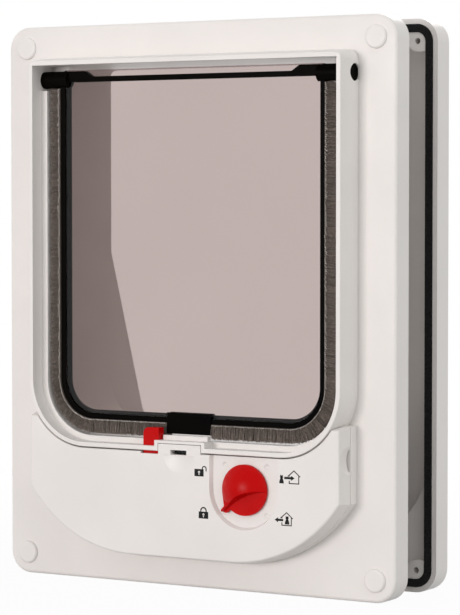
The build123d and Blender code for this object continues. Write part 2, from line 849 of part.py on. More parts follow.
# Lock latch: upright blade with an arm at its foot that reaches back to the plunger
with BuildPart() as lock_latch:
    slab(
        (latch_left, latch_right),
        (latch_front, latch_front + latch_thickness),
        (latch_foot, latch_top),
    )
    top_edges = lock_latch.edges().filter_by(Axis.Y).group_by(Axis.Z)[-1]
    fillet(top_edges.sort_by(Axis.X)[0], latch_corner)
    slab(
        (latch_left, latch_right),
        (latch_front, coil_y + plunger_radius + wall),
        (latch_foot, latch_foot + arm_height),
    )
lock_latch.part.label = "lock_latch"
export_step(lock_latch.part, "parts/lock_latch.step")

# Latch plunger: steel rod under the arm, drawn into the coil
with BuildPart() as latch_plunger:
    with BuildSketch(Plane.XY.offset(latch_foot)):
        with Locations((latch_x, coil_y)):
            Circle(plunger_radius)
    extrude(amount=-plunger_length)
latch_plunger.part.label = "latch_plunger"
export_step(latch_plunger.part, "parts/latch_plunger.step")

# Latch spring: wire helix between the yoke and the arm
with BuildPart() as latch_spring:
    with BuildLine() as spring_path:
        spring_rise = spring_length - 2 * spring_wire
        Helix(
            spring_rise / spring_turns,
            spring_rise,
            spring_radius,
            center=(latch_x, coil_y, yoke_top + spring_wire),
        )
    with BuildSketch(Plane(spring_path.line @ 0, z_dir=spring_path.line % 0)):
        Circle(spring_wire)
    sweep()
latch_spring.part.label = "latch_spring"
export_step(latch_spring.part, "parts/latch_spring.step")

# Solenoid coil: wound bobbin with a bore for the plunger
with BuildPart() as solenoid_coil:
    with BuildSketch(Plane.XY.offset(coil_bottom)):
        with Locations((latch_x, coil_y)):
            Circle(coil_radius)
            Circle(plunger_radius + latch_clearance, mode=Mode.SUBTRACT)
    extrude(amount=coil_height)
solenoid_coil.part.label = "solenoid_coil"
export_step(solenoid_coil.part, "parts/solenoid_coil.step")

# Solenoid yoke: steel strap around the coil, open at the front and back
with BuildPart() as solenoid_yoke:
    slab(
        (latch_x - coil_room - yoke_wall, latch_x + coil_room + yoke_wall),
        (coil_y - coil_radius, compartment_floor),
        (coil_bottom - yoke_wall, yoke_top),
    )
    slab(
        (latch_x - coil_room, latch_x + coil_room),
        (coil_y - coil_radius, compartment_floor),
        (coil_bottom, coil_top),
        mode=Mode.SUBTRACT,
    )
    with BuildSketch(Plane.XY.offset(yoke_top)):
        with Locations((latch_x, coil_y)):
            Circle(plunger_radius + latch_clearance)
    extrude(amount=-yoke_wall, mode=Mode.SUBTRACT)
solenoid_yoke.part.label = "solenoid_yoke"
export_step(solenoid_yoke.part, "parts/solenoid_yoke.step")

# Battery: block cell with two studs on its left end
with BuildPart() as battery:
    with Locations((battery_centre_x, battery_y, battery_centre_z)):
        Box(battery_length, battery_thickness, battery_width)
    fillet(battery.edges().filter_by(Axis.X), battery_edge)
    with BuildSketch(along_x(battery_left, battery_y, battery_centre_z)):
        with GridLocations(0, stud_spacing, 1, 2):
            Circle(stud_radius)
    extrude(amount=-stud_length)
battery.part.label = "battery"
export_step(battery.part, "parts/battery.step")

# Battery snap: plate that clips over the studs
with BuildPart() as battery_snap:
    with BuildSketch(along_x(battery_left - snap_clearance, battery_y, battery_centre_z)):
        Rectangle(battery_thickness - 2 * battery_edge, snap_height)
        with GridLocations(0, stud_spacing, 1, 2):
            Circle(stud_radius + snap_clearance, mode=Mode.SUBTRACT)
    extrude(amount=-snap_thickness)
battery_snap.part.label = "battery_snap"
export_step(battery_snap.part, "parts/battery_snap.step")

# Circuit board, on the compartment's posts
with BuildPart() as circuit_board:
    slab(
        (board_centre_x - board_width / 2, board_centre_x + board_width / 2),
        (board_front, board_back),
        (board_centre_z - board_height / 2, board_centre_z + board_height / 2),
    )
circuit_board.part.label = "circuit_board"
export_step(circuit_board.part, "parts/circuit_board.step")

# Reed switch: glass tube along the board's upper edge
with BuildPart() as reed_switch:
    reed_x = board_centre_x - board_width / 2 + reed_inset
    reed_z = board_centre_z + board_height / 2 - reed_inset
    with BuildSketch(along_x(reed_x, board_front - reed_radius, reed_z)):
        Circle(reed_radius)
    extrude(amount=reed_length)
reed_switch.part.label = "reed_switch"
export_step(reed_switch.part, "parts/reed_switch.step")

# Outer frame: tray with a lip, corner bosses, a collar around the liner and a sloping apron
with BuildPart() as outer_frame:
    with BuildSketch(facing(outer_back)):
        frame_outline()
    extrude(amount=outer_depth)
    fillet(outer_frame.faces().sort_by(Axis.Y)[-1].edges(), frame_edge)
    with BuildSketch(facing(outer_back - outer_floor)):
        frame_outline(outer_lip + foam_width)
    extrude(amount=outer_depth - outer_floor, mode=Mode.SUBTRACT)
    with BuildSketch(facing(outer_front + foam_thickness - foam_proud)):
        frame_outline(outer_lip)
    extrude(amount=foam_thickness - foam_proud, mode=Mode.SUBTRACT)
    add(apron_block(0, 0, outer_back - outer_floor))
    add(apron_block(wall, apron_cheek, outer_back - outer_floor - 2 * wall), mode=Mode.SUBTRACT)
    add(collar_block())
    with BuildSketch(facing(outer_back + apron_reach)):
        outer_arch(wall + liner_clearance)
    extrude(amount=outer_back + apron_reach - collar_front, mode=Mode.SUBTRACT)
    # Higher floor in the two lower corners, then the bosses and their pilot holes
    with BuildSketch(facing(outer_back - outer_floor)):
        frame_outline(outer_lip + foam_width)
        bowed_outline(tray_half_width, frame_height / 2, corner_arc_radius, mode=Mode.SUBTRACT)
    extrude(amount=corner_rise)
    with BuildSketch(facing(outer_back - outer_floor)):
        with GridLocations(screw_spacing_x, screw_spacing_z, 2, 2):
            Circle(outer_boss_radius)
        with GridLocations(screw_spacing_x + outer_boss_radius, screw_spacing_z, 2, 2):
            Rectangle(outer_boss_radius, 2 * outer_boss_radius)
        with GridLocations(screw_spacing_x, screw_spacing_z + outer_boss_radius, 2, 2):
            Rectangle(2 * outer_boss_radius, outer_boss_radius)
        frame_outline(outer_lip + foam_width, mode=Mode.INTERSECT)
    extrude(amount=outer_depth - outer_floor)
    with Locations(facing(outer_front)):
        with GridLocations(screw_spacing_x, screw_spacing_z, 2, 2):
            Hole(pilot_radius, pilot_depth)
outer_frame.part.label = "outer_frame"
export_step(outer_frame.part, "parts/outer_frame.step")

# Foam seal: soft strip in the groove behind the outer frame's lip
with BuildPart() as foam_seal:
    with BuildSketch(facing(outer_front + foam_thickness - foam_proud)):
        frame_outline(outer_lip + panel_clearance)
        frame_outline(outer_lip + foam_width, mode=Mode.SUBTRACT)
    extrude(amount=foam_thickness)
foam_seal.part.label = "foam_seal"
export_step(foam_seal.part, "parts/foam_seal.step")
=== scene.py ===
# %% [markdown]
# # A cat flap, dressed for its portrait
#
# The solid model of the cat flap is finished: its frames, flap, dial and latch have their shapes and
# sizes. This lesson adds what solids can't show: the satin of moulded plastic, a tinted window, a
# brush of fine fibres, black foam, printed symbols and the light of a small studio.
#
# They stay where they are, and everything that is added takes its place in the same frame.

# %% Load the frame
import bpy
import bmesh
import math
import random
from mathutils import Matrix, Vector
from mathutils.noise import noise as cloud_value


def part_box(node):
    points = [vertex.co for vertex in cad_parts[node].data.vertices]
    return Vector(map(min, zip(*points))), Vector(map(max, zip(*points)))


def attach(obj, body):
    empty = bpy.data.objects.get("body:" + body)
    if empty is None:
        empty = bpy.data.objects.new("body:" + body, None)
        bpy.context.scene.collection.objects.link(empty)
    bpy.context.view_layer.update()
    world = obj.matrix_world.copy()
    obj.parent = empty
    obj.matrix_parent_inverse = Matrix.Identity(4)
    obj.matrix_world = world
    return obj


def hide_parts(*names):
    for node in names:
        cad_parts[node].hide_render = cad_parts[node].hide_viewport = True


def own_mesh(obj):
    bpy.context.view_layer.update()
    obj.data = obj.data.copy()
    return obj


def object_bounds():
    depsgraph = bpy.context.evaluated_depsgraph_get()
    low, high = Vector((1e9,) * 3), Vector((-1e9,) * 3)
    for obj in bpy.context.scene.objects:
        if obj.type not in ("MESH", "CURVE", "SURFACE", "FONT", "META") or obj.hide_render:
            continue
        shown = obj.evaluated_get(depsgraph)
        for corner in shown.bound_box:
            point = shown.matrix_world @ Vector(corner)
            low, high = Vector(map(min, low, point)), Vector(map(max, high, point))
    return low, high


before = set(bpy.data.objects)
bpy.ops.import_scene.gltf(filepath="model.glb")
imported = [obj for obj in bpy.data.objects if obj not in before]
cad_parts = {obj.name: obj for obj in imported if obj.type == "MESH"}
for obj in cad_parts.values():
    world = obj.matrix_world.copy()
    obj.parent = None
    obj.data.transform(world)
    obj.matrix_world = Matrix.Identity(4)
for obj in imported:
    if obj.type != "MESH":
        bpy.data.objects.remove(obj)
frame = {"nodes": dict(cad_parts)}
nodes = frame["nodes"]
cad_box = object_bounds()
MM = 0.001
print("nodes:", len(nodes))

# %% [markdown]
# ## Camera
#
# The picture was taken from the right of the flap, almost level, with a long lens. The distance was
# worked out from how the two frames' edges converge. A constraint could aim the camera at a target,
# but its place and its angles are known here, so they are set directly. A lens of about 156 mm on a
# sensor with a long side of 36 mm gives the same perspective, so no shift is needed.

# %% Camera
CAMERA_PLACE = Vector((738.6, -1192.1, 56.2)) * MM
CAMERA_TURN_DEG = 31.31
CAMERA_DIP_DEG = 2.36
LENS_LENGTH_MM = 155.6
SENSOR_SIDE_MM = 36.0

lens = bpy.data.cameras.new("portrait_lens")
lens.lens = LENS_LENGTH_MM
lens.sensor_width = SENSOR_SIDE_MM
camera = bpy.data.objects.new("portrait_camera", lens)
camera.location = CAMERA_PLACE
camera.rotation_euler = (math.radians(90 - CAMERA_DIP_DEG), 0, math.radians(CAMERA_TURN_DEG))
bpy.context.scene.collection.objects.link(camera)
bpy.context.scene.camera = camera
print("camera at", [round(v, 3) for v in camera.location])

# %% [markdown]
# ## Start of a finish
#
# Pictures could be wrapped around the pieces, but solids have no unwrapped faces. So every finish is
# worked out in space by a few nodes, beginning with a noise that follows the object's own coordinates.
# These are in metres here, so a noise scale of 1000 has grains of about a millimetre.


# %% Start of a finish
def start_finish(name):
    """A new material with its node tree, its shader and its object coordinates."""
    material = bpy.data.materials.new(name)
    material.use_nodes = True
    tree = material.node_tree
    coordinates = tree.nodes.new("ShaderNodeTexCoord")
    return material, tree, tree.nodes["Principled BSDF"], coordinates.outputs["Object"]


def noise(tree, place, scale, detail=3.0):
    """Cloudy pattern; returns its grey value."""
    made = tree.nodes.new("ShaderNodeTexNoise")
    made.inputs["Scale"].default_value = scale
    made.inputs["Detail"].default_value = detail
    tree.links.new(place, made.inputs["Vector"])
    return made.outputs["Fac"]


def dress(material, *names):
    """Gives CAD nodes their finish."""
    for name in names:
        mesh = nodes[name].data
        mesh.materials.clear()
        mesh.materials.append(material)
    print(material.name, "on", ", ".join(names))


print("nodes to dress:", ", ".join(nodes))

# %% [markdown]
# ## Colour, gloss and relief
#
# A real surface is never quite even: its colour drifts, its gloss comes and goes, and it isn't
# perfectly flat. Each helper here plugs a grey pattern into one of the shader's sockets. The values of
# a noise crowd around one half, so only that middle range is spread over the tones or the gloss.

# %% Colour, gloss and relief
TONE_STOPS = (0.35, 0.65)
NOISE_RANGE = (0.3, 0.7)
FULL_RANGE = (0.0, 1.0)


def colour(tree, shader, grey, tones, stops=TONE_STOPS):
    """Base colour that runs from the first tone to the second as the grey value rises."""
    ramp = tree.nodes.new("ShaderNodeValToRGB")
    for element, stop, tone in zip(ramp.color_ramp.elements, stops, tones):
        element.position = stop
        element.color = (*tone, 1)
    tree.links.new(grey, ramp.inputs["Fac"])
    tree.links.new(ramp.outputs["Color"], shader.inputs["Base Color"])


def remap(tree, value, source, target):
    """Value carried over from one range to another."""
    made = tree.nodes.new("ShaderNodeMapRange")
    made.inputs["From Min"].default_value = source[0]
    made.inputs["From Max"].default_value = source[1]
    made.inputs["To Min"].default_value = target[0]
    made.inputs["To Max"].default_value = target[1]
    tree.links.new(value, made.inputs["Value"])
    return made.outputs["Result"]


def gloss(tree, shader, grey, rough):
    """Roughness that wanders within a narrow band."""
    tree.links.new(remap(tree, grey, NOISE_RANGE, rough), shader.inputs["Roughness"])


def relief(tree, shader, grey, depth_mm):
    """Small bump on the shader's normal."""
    made = tree.nodes.new("ShaderNodeBump")
    made.inputs["Distance"].default_value = depth_mm * MM
    tree.links.new(grey, made.inputs["Height"])
    tree.links.new(made.outputs["Normal"], shader.inputs["Normal"])


print("tones between", TONE_STOPS, "and gloss between", NOISE_RANGE, "of the noise")

# %% [markdown]
# ## Moulded plastic
#
# Most pieces of the flap are injection-moulded. The melt cools unevenly, which leaves faint clouds of
# tone and gloss, and the steel mould prints its spark-eroded grain on the skin. One function makes
# all the moulded finishes, so each of them only has to name its colour, its gloss and its grain.

# %% Moulded plastic
CLOUD_SCALE = 22.0
GLOSS_SCALE = 90.0
GRAIN_DETAIL = 1.0


def moulded(name, tones, rough, grain_scale, grain_mm, specular=0.5):
    """Injection-moulded plastic: faint clouds, uneven gloss and a spark-eroded grain."""
    material, tree, shader, place = start_finish(name)
    colour(tree, shader, noise(tree, place, CLOUD_SCALE), tones)
    gloss(tree, shader, noise(tree, place, GLOSS_SCALE), rough)
    relief(tree, shader, noise(tree, place, grain_scale, GRAIN_DETAIL), grain_mm)
    shader.inputs["Specular IOR Level"].default_value = specular
    return material


print("clouds of about", round(1 / CLOUD_SCALE / MM), "mm")

# %% [markdown]
# ## White moulded plastic
#
# The frames, the liner, the cover and the screw caps come out of steel moulds with a fine satin
# texture. The white is a little warm. One material serves them all, as one batch of granulate would.

# %% White plastic
WHITE_TONES = ((0.758, 0.722, 0.698), (0.793, 0.755, 0.730))

white = moulded("white_plastic", WHITE_TONES, rough=(0.36, 0.46), grain_scale=2400.0, grain_mm=0.012,
                specular=0.4)
dress(white, "inner_frame", "tunnel_liner", "control_cover", "screw_caps", "outer_frame")

# %% [markdown]
# ## Black moulded plastic
#
# The flap's border, its catch block and the hinge bushes are black with a trace of brown where the
# light catches an edge, so the lighter tone is warm. In a white studio even a small mirror effect
# turns black into grey, so the reflection is kept low.

# %% Black plastic
BLACK_TONES = ((0.0010, 0.0009, 0.0008), (0.0030, 0.0024, 0.0018))

black = moulded("black_plastic", BLACK_TONES, rough=(0.28, 0.42), grain_scale=1800.0, grain_mm=0.010,
                specular=0.015)
dress(black, "flap_border", "catch_block", "hinge_bushes", "battery_snap")

# %% [markdown]
# ## Red moulded plastic
#
# The dial and the latch are the parts to find at a glance: a saturated red with a brighter gloss
# than the white. A strong reflection would bleach the red, so the gloss comes from a smoother skin.

# %% Red plastic
RED_TONES = ((0.480, 0.0015, 0.0020), (0.550, 0.0025, 0.0030))

red = moulded("red_plastic", RED_TONES, rough=(0.24, 0.34), grain_scale=1500.0, grain_mm=0.006,
              specular=0.07)
dress(red, "lock_dial", "lock_latch")

# %% [markdown]
# ## Tinted window
#
# The panel is clear plastic with a brown-rose tint. The colour on the shader is the tint of the whole
# sheet, because the shader shares it out over the two faces that light crosses. All of the studio is
# white, so the sheet's index is set low to keep its mirror effect from hiding the black behind it.
# The faint waviness of a moulded sheet is a bump.

# %% Tinted panel
TINT_THROUGH = (0.52, 0.43, 0.41)
TINT_DRIFT = 0.97
TINT_SCALE = 12.0
PANEL_ROUGH = (0.02, 0.05)
PANEL_ROUGH_SCALE = 60.0
PANEL_IOR = 1.35
WAVE_SCALE = 14.0
WAVE_DETAIL = 1.0
WAVE_MM = 0.05

tinted, tree, shader, place = start_finish("tinted_panel")
deeper_tint = [TINT_DRIFT * channel for channel in TINT_THROUGH]
colour(tree, shader, noise(tree, place, TINT_SCALE), (deeper_tint, TINT_THROUGH))
gloss(tree, shader, noise(tree, place, PANEL_ROUGH_SCALE), PANEL_ROUGH)
relief(tree, shader, noise(tree, place, WAVE_SCALE, WAVE_DETAIL), WAVE_MM)
shader.inputs["Transmission Weight"].default_value = 1.0
shader.inputs["IOR"].default_value = PANEL_IOR
dress(tinted, "flap_panel")

# %% [markdown]
# ## Foam strip
#
# The outer frame seals on the door with a strip of closed-cell foam. Its cut surface is a field of
# tiny broken bubbles. Modelled bubbles would cost far too many faces, so a cell pattern gives them as
# bump and as painted shade: the black is a little darker in the bubbles' hollows than on their rims.

# %% Foam
FOAM_TONES_WITH_PAINTED_SHADE = ((0.004, 0.004, 0.004), (0.014, 0.014, 0.014))
BUBBLE_SCALE = 1300.0
BUBBLE_MM = 0.35


def dull(shader, roughness, specular=0.5):
    """Even roughness and reflection, for a surface without gloss."""
    shader.inputs["Roughness"].default_value = roughness
    shader.inputs["Specular IOR Level"].default_value = specular


foam, tree, shader, place = start_finish("black_foam")
cells = tree.nodes.new("ShaderNodeTexVoronoi")
cells.inputs["Scale"].default_value = BUBBLE_SCALE
tree.links.new(place, cells.inputs["Vector"])
# Painted shade: the black is darker in the bubbles' hollows, where the cell pattern sinks.
colour(tree, shader, cells.outputs["Distance"], FOAM_TONES_WITH_PAINTED_SHADE)
relief(tree, shader, cells.outputs["Distance"], BUBBLE_MM)
dull(shader, roughness=0.9, specular=0.2)
dress(foam, "foam_seal")

# %% [markdown]
# ## Hidden works: metals
#
# Behind the cover are a battery, a board, a coil and magnets. They show only when the cover is cut
# away, but each still gets the finish of the real thing. Drawn steel and wound copper have fine lines
# in one direction. A noise that is stretched or squeezed along one axis gives both kinds.

# %% Metals
STREAK_SCALE = 700.0
STREAK_MM = 0.01
STEEL_TONES = ((0.46, 0.46, 0.47), (0.62, 0.62, 0.63))
COPPER_TONES = ((0.42, 0.13, 0.05), (0.66, 0.27, 0.12))


def metal(name, tones, rough, streak):
    """Bare metal with fine lines: along Z for a streak below one, across Z for one above."""
    material, tree, shader, place = start_finish(name)
    stretch = tree.nodes.new("ShaderNodeMapping")
    stretch.inputs["Scale"].default_value = (1.0, 1.0, streak)
    tree.links.new(place, stretch.inputs["Vector"])
    lines = noise(tree, stretch.outputs["Vector"], STREAK_SCALE)
    colour(tree, shader, lines, tones)
    gloss(tree, shader, lines, rough)
    relief(tree, shader, lines, STREAK_MM)
    shader.inputs["Metallic"].default_value = 1.0
    return material


steel = metal("bare_steel", STEEL_TONES, rough=(0.25, 0.42), streak=0.05)
dress(steel, "latch_plunger", "latch_spring", "solenoid_yoke")
copper = metal("copper_winding", COPPER_TONES, rough=(0.22, 0.36), streak=9.0)
dress(copper, "solenoid_coil")

# %% [markdown]
# ## Hidden works: magnets and cam
#
# The two magnets have a dark, dull coating, and the cam on the dial's shaft is undyed nylon. Both have
# the clouds and the grain of a moulded skin, so the function for moulded plastic serves again.

# %% Magnets and cam
COATING_TONES = ((0.010, 0.010, 0.011), (0.020, 0.020, 0.022))
NYLON_TONES = ((0.62, 0.60, 0.54), (0.70, 0.68, 0.62))

coating = moulded("magnet_coating", COATING_TONES, rough=(0.45, 0.62), grain_scale=900.0, grain_mm=0.020,
                  specular=0.10)
dress(coating, "flap_magnet", "keeper_magnet")
nylon = moulded("natural_nylon", NYLON_TONES, rough=(0.42, 0.55), grain_scale=1600.0, grain_mm=0.010)
dress(nylon, "dial_cam")

# %% [markdown]
# ## Hidden works: battery
#
# A block battery wears a printed sleeve with a yellow end and a dark body. Two materials on two sets of
# faces would need a seam in the solid, so one material changes its colour along the battery's length.

# %% Battery
SLEEVE_TONES = ((0.45, 0.34, 0.10), (0.03, 0.035, 0.05))
SLEEVE_SPLIT = (0.30, 0.32)
SLEEVE_ROUGH = (0.25, 0.40)
SLEEVE_ROUGH_SCALE = 120.0

battery_low, battery_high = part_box("battery")
jacket, tree, shader, place = start_finish("battery_jacket")
split = tree.nodes.new("ShaderNodeSeparateXYZ")
tree.links.new(place, split.inputs["Vector"])
along = remap(tree, split.outputs["X"], (battery_low.x, battery_high.x), FULL_RANGE)
colour(tree, shader, along, SLEEVE_TONES, SLEEVE_SPLIT)
gloss(tree, shader, noise(tree, place, SLEEVE_ROUGH_SCALE), SLEEVE_ROUGH)
dress(jacket, "battery")

# %% [markdown]
# ## Hidden works: circuit board
#
# Under its green lacquer a board shows the copper as lighter paths. A brick pattern, turned into the
# board's own plane, has the same straight runs with corners: its bricks are the lacquer and its joints
# are the paths.

# %% Circuit board
BOARD_GREENS = {
    "Color1": (0.010, 0.120, 0.045, 1),
    "Color2": (0.014, 0.145, 0.055, 1),
    "Mortar": (0.030, 0.230, 0.085, 1),
}
PATH_SCALE = 90.0
BOARD_ROUGH = (0.30, 0.45)
BOARD_ROUGH_SCALE = 150.0

board, tree, shader, place = start_finish("board_green")
paths = tree.nodes.new("ShaderNodeTexBrick")
paths.inputs["Scale"].default_value = PATH_SCALE
for socket, green in BOARD_GREENS.items():
    paths.inputs[socket].default_value = green
turn = tree.nodes.new("ShaderNodeMapping")
turn.inputs["Rotation"].default_value = (math.radians(90), 0, 0)
tree.links.new(place, turn.inputs["Vector"])
tree.links.new(turn.outputs["Vector"], paths.inputs["Vector"])
tree.links.new(paths.outputs["Color"], shader.inputs["Base Color"])
gloss(tree, shader, noise(tree, place, BOARD_ROUGH_SCALE), BOARD_ROUGH)
dress(board, "circuit_board")

# %% [markdown]
# ## Hidden works: reed switch
#
# The switch that feels the magnet on a cat's collar sits in a glass tube with a green cast. A little
# of the shader stays solid, so that such a small piece can still be seen.

# %% Reed switch
GLASS_TONES = ((0.78, 0.86, 0.82), (0.86, 0.92, 0.89))
GLASS_SCALE = 200.0
GLASS_CLEARNESS = 0.9
GLASS_ROUGHNESS = 0.05

glass, tree, shader, place = start_finish("clear_glass")
colour(tree, shader, noise(tree, place, GLASS_SCALE), GLASS_TONES)
shader.inputs["Transmission Weight"].default_value = GLASS_CLEARNESS
shader.inputs["Roughness"].default_value = GLASS_ROUGHNESS
dress(glass, "reed_switch")

# %% [markdown]
# ## Return spring
#
# A coil spring holds the latch up and is squeezed when the latch drops. A solid spring can't change
# its shape; here a copy of its mesh, with data of its own, takes its place on the frame.

spring = bpy.data.objects.new("return_spring", nodes["latch_spring"].data.copy())
bpy.context.scene.collection.objects.link(spring)
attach(spring, "frame")
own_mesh(spring)
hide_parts("latch_spring")

# %% [markdown]
# ## Brush pile: two outlines
#
# Three edges of the flap carry a brush that keeps the draught out. A fibre runs from the flap's border
# to just short of the tunnel's wall. Its root and its tip come from two outlines with the same
# parameter: down one side, round the corner and along the bottom. The flap's other half uses the same
# outlines, mirrored.

# %% Pile outlines
BORDER_OVERHANG = 1.5 * MM
BORDER_CORNER = 21.0 * MM
PILE_ROOT_GAP = 0.1 * MM
PILE_CORNER = 28.3 * MM

panel_low, panel_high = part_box("flap_panel")
pile_low, pile_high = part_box("pile_seal")
catch_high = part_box("catch_block")[1]
root_half = panel_high.x + BORDER_OVERHANG + PILE_ROOT_GAP
root_bottom = panel_low.z - BORDER_OVERHANG - PILE_ROOT_GAP
root_corner = BORDER_CORNER + PILE_ROOT_GAP
part_lengths = {
    "side": pile_high.z - root_bottom - root_corner,
    "corner": (root_corner + PILE_CORNER) / 2 * math.pi / 2,
    "bottom": root_half - root_corner,
}


def outline_point(half, bottom, corner, part, share):
    """Point in X and Z on the right half of an outline: on its side, in its corner or on its bottom."""
    if part == "side":
        return half, pile_high.z + share * (bottom + corner - pile_high.z)
    if part == "corner":
        angle = -share * math.pi / 2
        return half - corner + corner * math.cos(angle), bottom + corner + corner * math.sin(angle)
    return (1 - share) * (half - corner), bottom


def places_round(step):
    """Each place on the outline: its part, its side of the flap, its number and how many there are."""
    for part, length in part_lengths.items():
        count = round(length / step)
        for i in range(2 * count):
            yield part, 1 if i % 2 else -1, i // 2, count


def in_catch(x, z):
    """Whether a point lies where the catch block interrupts the brush."""
    return abs(x) < catch_high.x + PILE_ROOT_GAP and z < catch_high.z


print("brush length in mm:", round(2 * sum(part_lengths.values()) / MM))

# %% [markdown]
# ## Brush pile: finish
#
# Fibres of one colour still look lighter and darker, because they stand in tufts and shade each other.
# A material can't know which fibre it is on, so the mesh tells it: each vertex carries a shade, which
# the material reads as an attribute. A fine noise mottles it, and the result picks the grey.

# %% Pile finish
PILE_TONES = ((0.030, 0.024, 0.020), (0.300, 0.245, 0.212))
MOTTLE_SCALE = 1300.0
MOTTLE_BAND = (0.35, 1.45)


def combine(tree, operation, first, second):
    """One value worked out from two."""
    made = tree.nodes.new("ShaderNodeMath")
    made.operation = operation
    tree.links.new(first, made.inputs[0])
    tree.links.new(second, made.inputs[1])
    return made.outputs["Value"]


pile_finish, tree, shader, place = start_finish("grey_pile")
shade = tree.nodes.new("ShaderNodeAttribute")
shade.attribute_name = "fibre_shade"
mottle = remap(tree, noise(tree, place, MOTTLE_SCALE), NOISE_RANGE, MOTTLE_BAND)
mottled = combine(tree, "MULTIPLY", shade.outputs["Fac"], mottle)
colour(tree, shader, mottled, PILE_TONES, FULL_RANGE)
dull(shader, roughness=0.75, specular=0.25)
print(pile_finish.name, "reads", shade.attribute_name)

# %% [markdown]
# ## Brush pile: fibres
#
# A plain strip would look like felt, and hair particles don't survive an export, so each fibre is a
# slim three-sided spike in one mesh. A smooth noise makes tufts of fibres that are longer and lighter
# than their neighbours, and random draws give each fibre its own lean, length and shade. A fibre is
# darker at its root, where little light gets in.

# %% Spikes
SPIKE_SIDES = 3
SPIKE_TAPER = 0.55


def add_spike(mesh, root, tip, radius):
    """Slim spike with a blunt tip; returns the corners at its root and at its tip."""
    axis = (tip - root).normalized()
    side = axis.cross(Vector((0, 1, 0))).normalized()
    other = axis.cross(side)
    rings = []
    for centre, size in ((root, radius), (tip, SPIKE_TAPER * radius)):
        ring = []
        for k in range(SPIKE_SIDES):
            angle = k * math.tau / SPIKE_SIDES
            spoke = math.cos(angle) * side + math.sin(angle) * other
            ring.append(mesh.verts.new(centre + size * spoke))
        rings.append(ring)
    at_root, at_tip = rings
    for k in range(SPIKE_SIDES):
        j = (k + 1) % SPIKE_SIDES
        mesh.faces.new((at_root[k], at_root[j], at_tip[j], at_tip[k]))
    mesh.faces.new(at_tip)
    mesh.faces.new(at_root[::-1])
    return at_root, at_tip


def link_mesh(name, mesh, material):
    """Turns a bmesh into an object with a finish."""
    data = bpy.data.meshes.new(name)
    mesh.to_mesh(data)
    mesh.free()
    data.materials.append(material)
    made = bpy.data.objects.new(name, data)
    bpy.context.scene.collection.objects.link(made)
    print(name, "faces:", len(data.polygons))
    return made


print("faces of a spike:", SPIKE_SIDES + 2)

# %% Fibres
BRUSH_SEED = 7
FIBRE_STEP = 0.36 * MM
FIBRE_LAYERS = 13
FIBRE_RADIUS = 0.19 * MM
FIBRE_LEAN = 0.9 * MM
FIBRE_REACH = (0.82, 0.95)
TUFT_SIZE = 0.7 * MM
TUFT_REACH = 0.07
TUFT_SHADE = 0.32
MEAN_SHADE = 0.62
SHADE_SPREAD = 0.20
SHADE_LIMITS = (0.1, 1.0)
ROOT_SHADE = 0.55


def held(value, low, high):
    """Value that stays between two limits."""
    return min(max(value, low), high)


random.seed(BRUSH_SEED)
brush = bmesh.new()
shade_layer = brush.verts.layers.float.new("fibre_shade")
for layer in range(FIBRE_LAYERS):
    for part, side, i, count in places_round(FIBRE_STEP):
        share = (i + random.random()) / count
        root_x, root_z = outline_point(root_half, root_bottom, root_corner, part, share)
        tip_x, tip_z = outline_point(pile_high.x, pile_low.z, PILE_CORNER, part, share)
        if in_catch(root_x, root_z):
            continue
        across = (layer + random.random()) / FIBRE_LAYERS
        depth = pile_low.y + FIBRE_RADIUS + across * (pile_high.y - pile_low.y - 2 * FIBRE_RADIUS)
        start = Vector((side * root_x, depth, root_z))
        reach = Vector((side * tip_x, depth, tip_z)) - start
        tuft = cloud_value(start / TUFT_SIZE)
        lean = random.uniform(-FIBRE_LEAN, FIBRE_LEAN)
        end = start + reach * (random.uniform(*FIBRE_REACH) + TUFT_REACH * tuft)
        end += lean * Vector((reach.z, 0, -reach.x)).normalized()
        end.y = held(depth + random.uniform(-FIBRE_LEAN, FIBRE_LEAN), pile_low.y, pile_high.y)
        tone = MEAN_SHADE + TUFT_SHADE * tuft + random.uniform(-SHADE_SPREAD, SHADE_SPREAD)
        tip_shade = held(tone, *SHADE_LIMITS)
        rings = add_spike(brush, start, end, FIBRE_RADIUS)
        for ring, ring_shade in zip(rings, (ROOT_SHADE * tip_shade, tip_shade)):
            for vertex in ring:
                vertex[shade_layer] = ring_shade
pile = link_mesh("brush_pile", brush, pile_finish)
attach(pile, "flap")
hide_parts("pile_seal")

# %% [markdown]
# ## Thread
#
# A pale thread sews the brush to its tape, close to the flap's border. A single swept curve would look
# like wire, so each stitch is one more short spike, thicker than a fibre, laid along the same outline
# a little further out. On the two sides the stitches swing outwards and make a rough edge.

# %% Thread
THREAD_TONES = ((0.30, 0.27, 0.25), (0.66, 0.62, 0.58))
THREAD_SCALE = 500.0
THREAD_OFFSET = 0.32 * MM
THREAD_RADIUS = 0.24 * MM
STITCH_STEP = 1.0 * MM
STITCH_FILL = (0.60, 0.95)
STITCH_SWING = {"side": 1.5 * MM, "corner": 0.5 * MM, "bottom": 0.3 * MM}

thread_finish, tree, shader, place = start_finish("pale_thread")
colour(tree, shader, noise(tree, place, THREAD_SCALE), THREAD_TONES)
dull(shader, roughness=0.8)


def stitch_point(part, side, share, swing):
    """Point on the thread's line, swung outwards."""
    out = THREAD_OFFSET + swing
    x, z = outline_point(root_half + out, root_bottom - out, root_corner + out, part, share)
    return Vector((side * x, pile_low.y, z))


thread = bmesh.new()
for part, side, i, count in places_round(STITCH_STEP):
    fill = random.uniform(*STITCH_FILL)
    swing = random.uniform(0, STITCH_SWING[part])
    start = stitch_point(part, side, i / count, 0)
    end = stitch_point(part, side, (i + fill) / count, swing)
    if not in_catch(end.x, end.z):
        add_spike(thread, start, end, THREAD_RADIUS)
stitches = link_mesh("pile_thread", thread, thread_finish)
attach(stitches, "flap")

# %% [markdown]
# ## Printed symbols: simple shapes
#
# The four positions of the dial are printed in black: open, locked, in only and out only. A picture on
# the cover would need unwrapped faces and would blur up close. So each symbol is drawn with a few flat
# outlines, and these helpers return them as lists of points. All of their sizes are in millimetres, in
# the X and Z of the frame.

